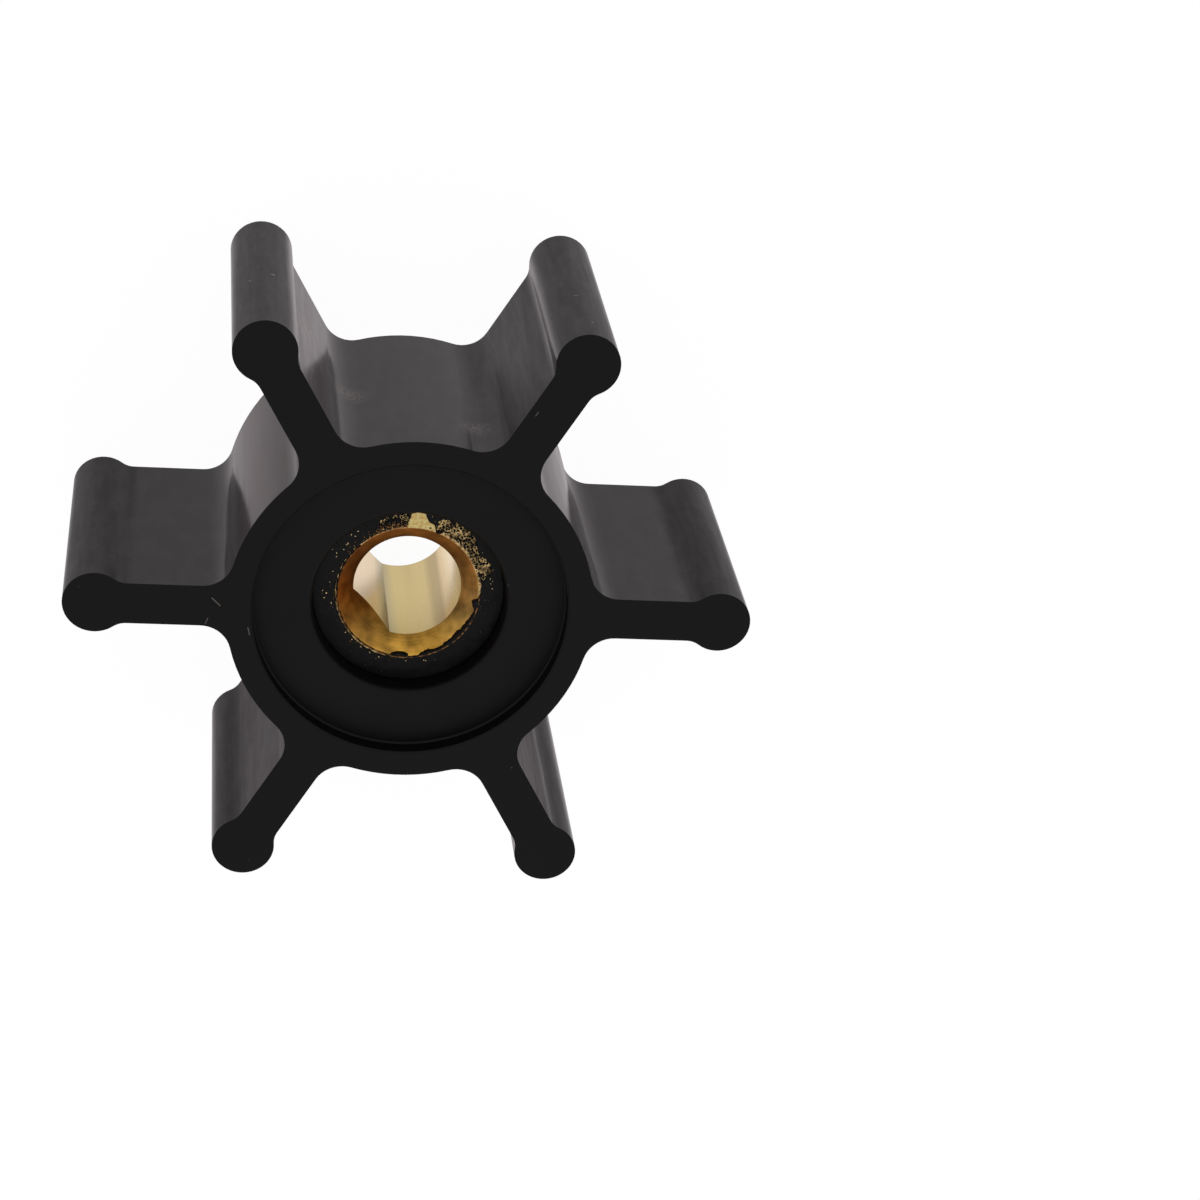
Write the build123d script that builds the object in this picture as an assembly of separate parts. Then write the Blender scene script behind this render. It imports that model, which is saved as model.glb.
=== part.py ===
"""Flexible-vane pump impeller: one rubber moulding bonded to one turned brass drive insert.

Millimetres and degrees.  The origin is the centre of the lower end face, +Z runs up the shaft axis,
and the first vane points along +X.  Both end faces are alike.
"""
import os
from math import atan2, cos, degrees, radians, sin, sqrt

from build123d import *

# ---- rubber moulding: outline seen along the shaft ----
tip_diameter = 50.8            # across two opposite vane tips
width = 22.0                   # end face to end face
vane_count = 6
vane_thickness = 3.2
hub_diameter = 27.1
root_radius = 2.3              # fillet where a vane leaves the hub
bulb_diameter = 4.7            # round bead along each vane's tip
neck_radius = 1.6              # fillet between a vane's flank and its bead

# ---- rubber moulding: stepped pocket in each end of the hub ----
pocket_diameter = 23.3
pocket_depth = 1.5
pocket_lip = 0.15              # bevel round the pocket's mouth
seat_diameter = 14.4           # inner step, which leaves the insert's end face open
seat_depth = 2.0               # measured from the pocket's floor
seat_lip_radius = 0.5          # rounding of the inner step's mouth
foot_bevel = 0.12              # bevel in the corner at the foot of each step's wall

# ---- brass insert ----
insert_diameter = 16.8
insert_corner = 0.4            # chamfer on the insert's outer corners
groove_count = 12              # half-round grooves that key the brass in the rubber
groove_radius = 0.8
groove_end_land = 2.5          # plain land left at each end of a groove

# ---- drive bore, cut for a shaft with one flat ----
shaft_diameter = 8.0
shaft_across_flat = 7.3        # from the flat to the opposite side of the shaft
shaft_clearance = 0.1          # on the diameter, and on the size across the flat
flat_direction = -140.0        # direction from the axis to the flat, from +X
lead_in_width = 1.2            # conical lead-in at each mouth, measured along the radius
lead_in_depth = 1.25

# ---- worked-out sizes ----
tip_radius = tip_diameter / 2
hub_radius = hub_diameter / 2
bulb_radius = bulb_diameter / 2
bulb_centre = tip_radius - bulb_radius
half_thickness = vane_thickness / 2
vane_pitch = 360 / vane_count
pocket_radius = pocket_diameter / 2
seat_radius = seat_diameter / 2
insert_length = width - 2 * (pocket_depth + seat_depth)
insert_radius = insert_diameter / 2
bore_radius = (shaft_diameter + shaft_clearance) / 2
flat_distance = shaft_across_flat + shaft_clearance - bore_radius
overcut = 1.0                  # how far a cutter stands past the face it opens


def polar(radius, angle):
    """Point at a radius and an angle in degrees."""
    return Vector(radius * cos(radians(angle)), radius * sin(radians(angle)))


def arc_between(start, end, centre, radius):
    """Minor arc about a centre, from one tangent point to the next."""
    middle = (start + end) / 2 - centre
    return Edge.make_three_point_arc(start, centre + middle.normalized() * radius, end)


def flank_edges():
    """Upper half of a vane along +X: root fillet, straight flank, neck fillet and half of the bead."""
    root_y = half_thickness + root_radius
    root_centre = Vector(sqrt((hub_radius + root_radius) ** 2 - root_y**2), root_y)
    on_hub = root_centre.normalized() * hub_radius
    flank_start = Vector(root_centre.X, half_thickness)

    neck_y = half_thickness + neck_radius
    neck_reach = sqrt((bulb_radius + neck_radius) ** 2 - neck_y**2)
    bead_centre = Vector(bulb_centre, 0)
    neck_centre = Vector(bulb_centre - neck_reach, neck_y)
    flank_end = Vector(neck_centre.X, half_thickness)
    on_bead = bead_centre + (neck_centre - bead_centre).normalized() * bulb_radius
    bead_angle = degrees(atan2(on_bead.Y, on_bead.X - bulb_centre))
    bead_middle = bead_centre + polar(bulb_radius, bead_angle / 2)

    return [
        arc_between(on_hub, flank_start, root_centre, root_radius),
        Edge.make_line(flank_start, flank_end),
        arc_between(flank_end, on_bead, neck_centre, neck_radius),
        Edge.make_three_point_arc(on_bead, bead_middle, Vector(tip_radius, 0)),
    ]


def vane_ring_outline():
    """Closed outline of hub and vanes, every edge tangent to the next."""
    upper = flank_edges()
    lower = [edge.mirror(Plane.XZ) for edge in upper]
    on_hub = upper[0] @ 0
    half_root = degrees(atan2(on_hub.Y, on_hub.X))
    hub_arc = Edge.make_three_point_arc(
        polar(hub_radius, half_root),
        polar(hub_radius, vane_pitch / 2),
        polar(hub_radius, vane_pitch - half_root),
    )
    one_pitch = upper + lower + [hub_arc]
    edges = [edge.rotate(Axis.Z, k * vane_pitch) for k in range(vane_count) for edge in one_pitch]
    return Wire(edges)


def end_pocket():
    """Stepped pocket of one end face, as the solid of revolution that is cut away below z = 0."""
    floor = -pocket_depth
    seat = floor - seat_depth
    mouth = pocket_radius + pocket_lip
    seat_mouth = seat_radius + seat_lip_radius
    seat_lip_foot = (seat_radius, floor - seat_lip_radius)
    seat_wall_foot = (seat_radius, seat + foot_bevel)
    with BuildSketch(Plane.XZ) as section:
        with BuildLine():
            Polyline(
                (0, seat),
                (0, overcut),
                (mouth, overcut),
                (mouth, 0),
                (pocket_radius, -pocket_lip),
                (pocket_radius, floor + foot_bevel),
                (pocket_radius - foot_bevel, floor),
                (seat_mouth, floor),
            )
            RadiusArc((seat_mouth, floor), seat_lip_foot, -seat_lip_radius)
            Polyline(seat_lip_foot, seat_wall_foot, (seat_radius - foot_bevel, seat), (0, seat))
        make_face()
    return revolve(section.sketch, Axis.Z)


def insert_blank():
    """Turned outside of the insert with its keying grooves, standing where it is bonded in the hub."""
    blank = Cylinder(insert_radius, insert_length)
    blank = chamfer(blank.edges().filter_by(GeomType.CIRCLE), insert_corner)
    groove = Cylinder(groove_radius, insert_length - 2 * groove_end_land)
    blank -= PolarLocations(insert_radius, groove_count) * groove
    return Pos(0, 0, width / 2) * blank


def drive_bore():
    """Through bore with one flat, and the conical lead-in at each mouth."""
    beyond_flat = Pos(flat_distance + bore_radius, 0) * Rectangle(2 * bore_radius, 4 * bore_radius)
    section = Rot(0, 0, flat_direction) * (Circle(bore_radius) - beyond_flat)
    bore = Pos(0, 0, width / 2) * extrude(section, insert_length / 2 + overcut, both=True)
    mouth_radius = bore_radius + lead_in_width
    cone_height = mouth_radius * lead_in_depth / lead_in_width
    cone = Cone(mouth_radius, 0, cone_height, align=(Align.CENTER, Align.CENTER, Align.MIN))
    lower_face = (width - insert_length) / 2
    bore += Pos(0, 0, lower_face) * cone
    bore += Pos(0, 0, width - lower_face) * Rot(180, 0, 0) * cone
    return bore


def make_brass_insert():
    return insert_blank() - drive_bore()


def make_rubber_impeller():
    body = extrude(Face(vane_ring_outline()), width, dir=(0, 0, 1))
    pocket = end_pocket()
    body -= Pos(0, 0, width) * pocket
    body -= Rot(180, 0, 0) * pocket
    return body - insert_blank()


parts = {
    "rubber_impeller": make_rubber_impeller(),
    "brass_insert": make_brass_insert(),
}

os.makedirs("parts", exist_ok=True)
for name, shape in parts.items():
    export_step(shape, f"parts/{name}.step")
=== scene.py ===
"""Looks of the rubber pump impeller: moulded nitrile rubber, a turned brass insert, plain studio light."""

import math
from functools import partial
from types import SimpleNamespace

import bmesh
import bpy
from mathutils import Matrix, Quaternion, Vector, noise


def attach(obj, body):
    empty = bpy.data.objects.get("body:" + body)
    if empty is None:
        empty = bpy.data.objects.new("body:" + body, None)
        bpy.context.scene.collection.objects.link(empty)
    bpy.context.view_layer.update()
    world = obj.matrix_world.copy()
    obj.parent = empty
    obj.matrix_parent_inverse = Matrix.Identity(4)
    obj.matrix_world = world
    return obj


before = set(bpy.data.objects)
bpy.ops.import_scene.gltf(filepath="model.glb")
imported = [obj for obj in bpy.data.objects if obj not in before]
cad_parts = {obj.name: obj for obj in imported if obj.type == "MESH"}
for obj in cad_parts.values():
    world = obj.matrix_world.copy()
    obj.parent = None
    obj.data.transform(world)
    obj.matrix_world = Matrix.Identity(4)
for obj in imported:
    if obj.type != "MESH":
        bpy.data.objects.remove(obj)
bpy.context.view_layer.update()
MM = 0.001

# ---- camera ----
CAMERA_TARGET = Vector((13.94, 1.52, 22.0)) * MM
CAMERA_DISTANCE = 236.8 * MM
CAMERA_AZIMUTH = -162.15
CAMERA_ELEVATION = 64.11
CAMERA_ROLL = 165.74
CAMERA_LENS = 95.93
CAMERA_CLIP_START = 10 * MM
SENSOR_WIDTH = 36.0

# ---- studio ----
TABLE_SIZE = 6.0
TABLE_DROP = 0.02 * MM
TABLE_WHITE = "f4f4f4"
TABLE_GLOW = 1.05
TABLE_GLOW_IN_GLOSS = "fff6f8"
# Share of the table that glows, rather than being lit: to the camera, and in gloss near the part.
TABLE_TO_CAMERA = 0.92
TABLE_TO_GLOSS = 0.5
# Gloss shows the table dimmer beyond the left vane, fully so past the first of these places.
TABLE_TO_GLOSS_DIMMED = TABLE_TO_GLOSS * 0.82
DIMMED_X, UNDIMMED_X = -19.0 * MM, -13.0 * MM
# Gloss in the bore shows the table beneath it glowing in full.
BORE_LIGHT_RADIUS = 4.5 * MM
BORE_LIGHT_FADED = BORE_LIGHT_RADIUS * 1.2
SKY_LEVEL = 0.55
WHITE = "ffffff"

# ---- the brass insert, in millimetres ----
MIDDLE = 11.0
FACE_HEIGHT = 18.5
MOUTH_RADIUS = 5.25
LEAD_IN_SLOPE = 1.25 / 1.2
SEAT_RADIUS = 7.2

# ---- the torn rubber film over its face, in millimetres and degrees ----
FILM_THICKNESS = 0.14
FILM_SUNK = 0.05
FILM_SKIRT = 0.02
FILM_SWELL = 0.03
FILM_EDGE_WIDTH = 0.07
FILM_SEED = 3
FILM_STEPS_ROUND = 760
# Rings of the film: close together where it is torn, then out to the wall of its seat.
FILM_RADII = [4.72 + 0.047 * step for step in range(43)] + [6.85, 7.05, SEAT_RADIUS + 0.04]
# Angle, radius at which the film starts there.
FILM_EDGE = [
    (-180, 5.44), (-150, 5.45), (-130, 5.50), (-105, 5.48), (-102, 5.30), (-80, 5.28), (-72, 5.05),
    (-60, 5.18), (-52, 5.08), (-40, 5.02), (-24, 5.13), (-15, 5.20), (-11, 5.00), (-7, 4.92), (-3, 5.25),
    (3, 5.42), (10, 5.48), (14, 5.30), (24, 5.32), (38, 5.34), (42, 5.44), (60, 5.44), (64, 5.30),
    (115, 5.30), (130, 5.32), (140, 5.42), (180, 5.44),
]
# A thin rim of rubber stays round the mouth, from one angle on through half a turn to the other.
RIM_FROM, RIM_TO = 135, -92
RIM_RADIUS = 5.33
RIM_HALF_WIDTH = 0.075
BARE_PATCH = [
    (-0.40, 5.10), (1.78, 5.00), (1.62, 5.50), (1.18, 5.80), (0.90, 6.42), (0.25, 6.50), (-0.15, 6.42),
    (-0.24, 5.83),
]
# Areas where the film has crumbled: outline, size of the crumbs, bare seam between them as a share of it.
CRUMBLED = [
    ([(1.70, 5.05), (1.70, 5.60), (2.24, 6.06), (2.86, 5.94), (3.55, 5.62), (4.34, 5.09), (4.70, 4.62),
      (4.88, 3.95), (5.05, 3.40), (5.70, 2.85), (6.25, 2.08), (5.85, 1.55), (5.72, 1.20), (5.20, 1.05),
      (4.80, 1.90), (4.40, 2.70), (3.80, 3.45), (2.80, 4.40)], 0.24, 0.17),
    ([(-0.30, 5.10), (-0.16, 5.85), (-0.40, 6.35), (-1.20, 6.32), (-2.25, 6.10), (-2.60, 5.40),
      (-2.90, 4.70), (-1.50, 4.90)], 0.17, 0.03),
]
# Noise of the torn edges and of the crumbs, as (height, waves per millimetre) pairs, and how crumbs bend.
RAGGED_WAVES = [(0.05, 3.0), (0.035, 9.0)]
CRUMB_WAVES = [(0.18, 2.2), (0.2, 9.0)]
CRUMB_BEND, CRUMB_BEND_WAVES = 0.12, 3.5
# Nibs of rubber left over the mouth: middle, half length, half width.
RUBBER_NIBS = [
    (-0.40, -5.20, 0.72, 0.19), (1.98, 4.98, 0.26, 0.14), (1.32, 5.30, 0.09, 0.06), (4.95, -0.75, 0.10, 0.18),
]

# ---- loose chips of brass on the film ----
FLECK_PLACES = [
    (-4.5, 4.6), (-4.2, 4.5), (-4.0, 4.9), (-4.8, 3.8), (-4.7, 3.9), (-5.0, 3.4), (-5.8, 3.4), (-5.5, 3.1),
    (-5.5, 2.8), (-5.7, 1.6), (-5.9, 0.7), (-6.4, 0.0), (-6.1, -0.2), (-6.25, -0.6), (-5.7, -1.0), (5.3, 3.5),
    (6.05, 1.4), (6.25, 1.2), (6.1, 1.0), (6.25, 0.6), (1.4, 6.3), (0.15, -5.6), (1.5, -5.5), (1.65, -5.55),
    (-3.3, -4.55), (-2.6, -5.0), (-4.0, -3.95), (-4.5, -3.4), (-1.9, -5.35),
]
FLECK_DIAMETER = 0.15 * MM
FLECK_PROPORTIONS = (0.5, 0.5, 0.22)
FLECK_SMALLEST, FLECK_LARGEST = (0.5, 0.4, 0.6), (1.4, 0.9, 1.2)
FLECK_TILT = 0.4
FLECK_SEED = 7

# ---- zones of the rubber, as distances from the axis in millimetres ----
POCKET_RADIUS = 12.6
# Between these radii the hub's colours, with painted shade in the roots, give way to the vanes' colours.
ROOT_ENDS, VANE_STARTS = 15.0, 18.5
WEAR_STARTS, WEAR_FULL = 17.5, 20.5
BULB_STARTS, BULB_FULL = 20.3, 20.9
DUSTED_FULL, DUSTED_ENDS = 5.3, 6.3
# Radius, and full and fading half width, of a painted highlight: a thin gold line along the film's lip.
LIP_HIGHLIGHT_RADIUS, LIP_HIGHLIGHT_FULL, LIP_HIGHLIGHT_ENDS = 5.34, 0.015, 0.05

# ---- finish of the rubber: roughness, grain in millimetres ----
# Angle about the axis in degrees, roughness of the moulded walls there: the mould was polished unevenly.
WALL_POLISH = [
    (0, 0.20), (10, 0.18), (15, 0.14), (46, 0.14), (56, 0.30), (62, 0.38), (69, 0.34), (75, 0.20),
    (106, 0.18), (112, 0.15), (118, 0.16), (123, 0.20), (134, 0.14), (166, 0.15), (174, 0.20), (186, 0.26),
    (228, 0.30), (234, 0.38), (246, 0.38), (294, 0.42), (306, 0.45), (316, 0.30), (354, 0.22), (360, 0.20),
]
# Direction in which a bulb's wall faces in degrees, its roughness there: tips are handled, their sides less.
BULB_POLISH = [
    (0, 0.30), (12, 0.14), (28, 0.16), (46, 0.40), (148, 0.42), (160, 0.32), (172, 0.18), (215, 0.18),
    (250, 0.35), (330, 0.35), (360, 0.30),
]
WEAR_ROUGHNESS = 0.05
POCKET_ROUGHNESS = 0.42
CUT_SMOOTHEST, CUT_ROUGHEST = 0.43, 0.52
MARKS_SMOOTHER, MARKS_ROUGHER = -0.04, 0.05
GRAIN_HEIGHT = 0.015
GRAIN_STRENGTH = 0.25
RUBBER_IOR = 1.3

# ---- colours of the rubber ----
# Angle about the axis in degrees, colour of the vanes' sides there: a thin reddish bloom on some of them,
# with painted reflection, lighter where a side mirrors the bright table and darker where it mirrors the hub.
VANE_BLOOM_AND_REFLECTION = [
    (0, "130f10"), (14, "1c1315"), (30, "38262a"), (48, "1e1517"), (66, "1b1415"), (80, "100e0f"),
    (104, "100e0f"), (111, "3c2226"), (118, "3c2226"), (123, "161213"), (136, "2c1c1f"), (150, "40282b"),
    (164, "0c0a0b"), (186, "0a0808"), (228, "2a1a1d"), (246, "2a1a1d"), (298, "2a1a1d"), (312, "2a1a1d"),
    (350, "130f10"), (360, "130f10"),
]
# Angle about the axis in degrees, colour of the hub's wall and the vanes' roots there: reddish bloom with
# painted reflection, and painted shade that darkens some roots.
HUB_BLOOM_AND_REFLECTION = [
    (0, "0e0b0c"), (18, "1c1315"), (30, "38262a"), (44, "0e0b0c"), (66, "0e0b0c"), (80, "0e0c0d"),
    (104, "0e0c0d"), (124, "0a0808"), (132, "181112"), (144, "40282b"), (153, "40282b"), (160, "080707"),
    (200, "0c0a0a"), (228, "2a1a1d"), (246, "2a1a1d"), (298, "2a1a1d"), (312, "2a1a1d"), (350, "0e0b0c"),
    (360, "0e0b0c"),
]
WALL_BLACK = "0a0909"
BULB_BLACK = "0d0d0d"
# Black of the cut end faces and pocket floors; its blue cast is a painted tint of the cool light from above.
CUT_BLACK_SKY_TINTED = "0a0a0c"
HAZE_GREY = "504849"
STROKE_GREY = "b4a2a4"
SCUFF_GREY = "807878"
DUST_GREY = "6a6664"
NICK_GREY = "b0a298"
# Gold of the brass dust, used also for the painted highlight along the film's lip.
BRASS_DUST_AND_HIGHLIGHT_GOLD = "e0a05c"

# ---- marks on the rubber, in millimetres ----
# Rubbed strokes on one vane's flank: their middle, full and fading reach, direction, and the one across it.
STROKES_MIDDLE = (-7.9, 16.9, 10.5)
STROKES_FULL, STROKES_END = 0.8, 4.4
STROKES_ALONG, STROKES_ACROSS = (0.354, -0.612, 0.707), (-0.354, 0.612, 0.707)
STROKES_STRENGTH = 0.75
# Scuffs on the hub's wall: middle, reach, strength.
SCUFFS = [((-4.85, 12.80, 12.0), 1.9, 1.0), ((4.17, 12.89, 17.6), 1.6, 0.85)]
# Small pale nicks: middle, half of the length as a vector, half width, and how pale.
NICKS = [
    ((-14.27, 0.35, 22.0), (0.30, -0.29, 0.0), 0.06, 0.35),
    ((-14.90, -1.20, 22.0), (-0.08, -0.22, 0.0), 0.05, 0.3),
    ((-11.80, -1.95, 22.0), (0.07, -0.29, 0.0), 0.05, 0.35),
    ((8.10, 16.07, 22.0), (0.08, 0.14, 0.0), 0.05, 0.3),
    ((-10.96, 22.20, 12.0), (0.12, 0.0, 0.0), 0.10, 0.9),
    ((-12.57, 22.03, 13.1), (0.06, 0.0, 0.10), 0.08, 0.4),
    ((11.3, 22.26, 13.7), (0.16, 0.0, 0.0), 0.08, 0.5),
    ((11.9, 22.24, 19.3), (0.05, 0.0, 0.10), 0.08, 0.5),
]
# Angle about the axis in degrees, how much brass dust lies on the film there.
BRASS_DUST = [
    (0, 0.15), (30, 0.2), (70, 0.4), (92, 0.9), (118, 0.8), (135, 0.35), (180, 0.25), (225, 0.15),
    (262, 0.25), (285, 0.1), (305, 0.0), (345, 0.0), (360, 0.15),
]

# ---- sizes of the rubber's patterns in millimetres; grain, scratches and specks are coarser, to show ----
MOULD_GRAIN = 0.30
BLOTCHES = 4.5
DRAW_MARKS = 0.9
RUB_MARKS = 0.55
STROKES = 0.45
HAZE_CLOUDS = 1.3
SCRATCHES = 0.22
DUST_SPACING = 2.2
DUST_CLUSTERS = 2.0
BRASS_SPECKS = 0.11
# Scale along the axis of the patterns that are drawn out that way, and the tilt of the rub marks.
DRAWN_OUT, RUBBED_OUT, HAZE_OUT, STROKES_OUT = 0.06, 0.12, 0.45, 0.10
RUB_TILT = (0.55, 0.35, 0.4)

# ---- colours of the brass ----
# Angle about the axis in degrees, colour of the lead-in there: brown tarnish with painted reflection, deeper
# brown on the sides that mirror dark brass and rubber, paler gold where it mirrors the white table.
LEAD_IN_TARNISH_AND_REFLECTION = [
    (0, "d8ac66"), (40, "b87c3e"), (90, "b06a2e"), (140, "a0602e"), (180, "b06c32"), (225, "d09a48"),
    (262, "cc9a42"), (300, "cc9a42"), (330, "dcac5a"), (360, "dcb06a"),
]
# Angle about the axis in degrees, how much of the lead-in is bare metal rather than brown oxide.
LEAD_IN_BARE = [
    (0, 0.7), (50, 0.5), (90, 0.3), (130, 0.5), (180, 0.85), (230, 0.95), (300, 1.0), (340, 0.8), (360, 0.7),
]
# Angle about the axis in degrees, colour of the bore wall there: painted light and shade in bands round the
# axis.
BORE_SHADE_BANDS = [
    (0, "e2d2a2"), (60, "c2b476"), (190, "e4d0a4"), (236, "dcc898"), (246, "b8ac7c"), (253, "a49c72"),
    (258, "b6aa76"), (265, "c2b476"), (300, "c4b47a"), (308, "aa9a66"), (317, "a89766"), (323, "cfbb88"),
    (340, "e6d8ac"), (360, "e2d2a2"),
]
# Value of the grit pattern, colour of the face there: bright where it lies bare, dusky under torn rubber.
BARE_GOLD = [(0.30, "ecbc68"), (0.60, "ffeca8")]
DUSKY_GOLD = [(0.36, "705636"), (0.60, "ffdc9c")]
FLECK_GOLD = "ffe4b0"

# ---- finish of the brass: roughness, tool marks in millimetres ----
BORE_SMOOTHEST, BORE_ROUGHEST = 0.20, 0.30
LEAD_IN_ROUGHNESS = 0.28
FACE_ROUGHNESS = 0.55
TOOL_MARK_HEIGHT = 0.02
TOOL_MARK_STRENGTH = 0.35

# ---- zones of the brass, in millimetres: places with their full and fading reach, and radii ----
RUBBED_PLACE, RUBBED_FULL, RUBBED_ENDS = (-0.2, -4.9, 18.1), 0.3, 1.1
BARE_PLACE, BARE_FULL, BARE_ENDS = (0.6, 5.8, FACE_HEIGHT), 1.0, 1.6
# The lead-in darkens from the first radius in to the second: painted shade deep in the mouth.
LEAD_IN_DARKEST, LEAD_IN_PALEST = 4.0, 5.2
BRIGHT_RIM_FULL, BRIGHT_RIM_ENDS = 5.40, 5.55

# ---- sizes of the brass's patterns in millimetres; tool rings and grit are coarser, to show ----
REAMER_STREAKS = 1.3
TARNISH_CLOUDS = 1.1
TOOL_RINGS = 0.16
TORN_GRIT = 0.25
TORN_PATCHES = 0.8
# Scale of the reamer's streaks along the axis, and how much the tool rings weigh against the clouds.
STREAKED_OUT = 0.04
RING_WEIGHT = 0.28


def srgb(code):
    """Linear colour from an sRGB hex code such as "8a7f70"."""
    channels = [int(code[i:i + 2], 16) / 255 for i in (0, 2, 4)]
    return [c / 12.92 if c <= 0.04045 else ((c + 0.055) / 1.055) ** 2.4 for c in channels] + [1.0]


def add_node(tree, kind, inputs=None, **settings):
    """Adds a node, sets its properties, and fills or links its inputs."""
    node = tree.nodes.new(kind)
    for name, value in settings.items():
        setattr(node, name, value)
    for socket, value in (inputs or {}).items():
        if isinstance(value, bpy.types.NodeSocket):
            tree.links.new(value, node.inputs[socket])
        else:
            node.inputs[socket].default_value = value
    return node


def new_material(name):
    """Empty node material with its output node."""
    material = bpy.data.materials.new(name)
    material.use_nodes = True
    tree = material.node_tree
    tree.nodes.clear()
    return material, tree, add_node(tree, "ShaderNodeOutputMaterial")


def set_stops(ramp, stops, span=1):
    """Gives a colour ramp its stops, from places along a span and hex codes or grey values."""
    elements = ramp.color_ramp.elements
    while len(elements) < len(stops):
        elements.new(0.5)
    for element, (place, value) in zip(elements, stops):
        element.position = place / span
        element.color = srgb(value) if isinstance(value, str) else (value, value, value, 1)


def axis_distance(node, place):
    """Distance of a place from the part's axis."""
    flat = node("ShaderNodeVectorMath", {0: place, 1: (1, 1, 0)}, operation="MULTIPLY").outputs[0]
    return node("ShaderNodeVectorMath", {0: flat}, operation="LENGTH").outputs["Value"]


def share_of_turn(node, direction):
    """Angle of a direction about the part's axis, as a share of a full turn from 0 to 1."""
    turn = node("ShaderNodeMath", {0: direction["Y"], 1: direction["X"]}, operation="ARCTAN2").outputs[0]
    turn = node("ShaderNodeMath", {0: turn, 1: 1 / math.tau}, operation="MULTIPLY").outputs[0]
    return node("ShaderNodeMath", {0: turn}, operation="FRACT").outputs[0]


def rubber_zones(node):
    """Where a point of the rubber lies, which way it faces, and masks that tell the surfaces apart."""
    texture = node("ShaderNodeTexCoord").outputs
    place = texture["Object"]
    xyz = node("ShaderNodeSeparateXYZ", {0: place}).outputs
    normal = node("ShaderNodeSeparateXYZ", {0: texture["Normal"]}).outputs
    radius = axis_distance(node, place)
    upright = node("ShaderNodeMath", {0: normal["Z"]}, operation="ABSOLUTE").outputs[0]
    ends = node("ShaderNodeMapRange", {"Value": upright, "From Min": 0.6, "From Max": 0.9}).outputs[0]
    bulb = node("ShaderNodeMapRange", {
        "Value": radius, "From Min": BULB_STARTS * MM, "From Max": BULB_FULL * MM}).outputs[0]
    pocket = node("ShaderNodeMath", {0: radius, 1: POCKET_RADIUS * MM}, operation="LESS_THAN").outputs[0]
    ends_or_pocket = node("ShaderNodeMath", {0: pocket, 1: ends}, operation="MAXIMUM").outputs[0]
    return SimpleNamespace(
        place=place, height=xyz["Z"], radius=radius, turn=share_of_turn(node, xyz),
        facing=share_of_turn(node, normal), ends=ends, bulb=bulb, pocket=pocket,
        ends_or_pocket=ends_or_pocket)


def rubber_patterns(node, place):
    """Mould grain, broad blotches, draw marks along the axis, and rub marks across the vanes."""
    drawn = node("ShaderNodeMapping", {"Vector": place, "Scale": (1, 1, DRAWN_OUT)}).outputs[0]
    rubbed = node("ShaderNodeMapping", {
        "Vector": place, "Rotation": RUB_TILT, "Scale": (1, 1, RUBBED_OUT)}).outputs[0]
    patterns = {}
    for name, vector, size, detail in (
            ("grain", place, MOULD_GRAIN, 4.0), ("blotch", place, BLOTCHES, 3.0),
            ("drawn", drawn, DRAW_MARKS, 3.0), ("rubbed", rubbed, RUB_MARKS, 4.0)):
        patterns[name] = node("ShaderNodeTexNoise", {
            "Vector": vector, "Scale": 1 / (size * MM), "Detail": detail}).outputs["Fac"]
    return SimpleNamespace(**patterns)


def rubber_roughness(node, zone, pattern):
    """Walls polished by angle and bulbs by the way they face, with marks; pocket and cut end faces dull."""
    polish = node("ShaderNodeValToRGB", {0: zone.turn})
    set_stops(polish, WALL_POLISH, span=360)
    worn = node("ShaderNodeMapRange", {
        "Value": zone.radius, "From Min": WEAR_STARTS * MM, "From Max": WEAR_FULL * MM,
        "To Max": WEAR_ROUGHNESS}).outputs[0]
    polish = node("ShaderNodeMath", {0: polish.outputs[0], 1: worn}, operation="ADD").outputs[0]
    bulb_polish = node("ShaderNodeValToRGB", {0: zone.facing})
    set_stops(bulb_polish, BULB_POLISH, span=360)
    wall = node("ShaderNodeMix", {0: zone.bulb, 2: polish, 3: bulb_polish.outputs[0]}).outputs[0]
    marks = node("ShaderNodeMath", {0: pattern.drawn, 1: pattern.rubbed}, operation="ADD").outputs[0]
    marks = node("ShaderNodeMapRange", {
        "Value": marks, "From Min": 0.7, "From Max": 1.3,
        "To Min": MARKS_SMOOTHER, "To Max": MARKS_ROUGHER}).outputs[0]
    wall = node("ShaderNodeMath", {0: wall, 1: marks}, operation="ADD").outputs[0]
    wall = node("ShaderNodeMix", {0: zone.pocket, 2: wall, 3: POCKET_ROUGHNESS}).outputs[0]
    cut = node("ShaderNodeMapRange", {
        "Value": pattern.blotch, "From Min": 0.3, "From Max": 0.7,
        "To Min": CUT_SMOOTHEST, "To Max": CUT_ROUGHEST}).outputs[0]
    return node("ShaderNodeMix", {0: zone.ends, 2: wall, 3: cut}).outputs[0]


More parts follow.
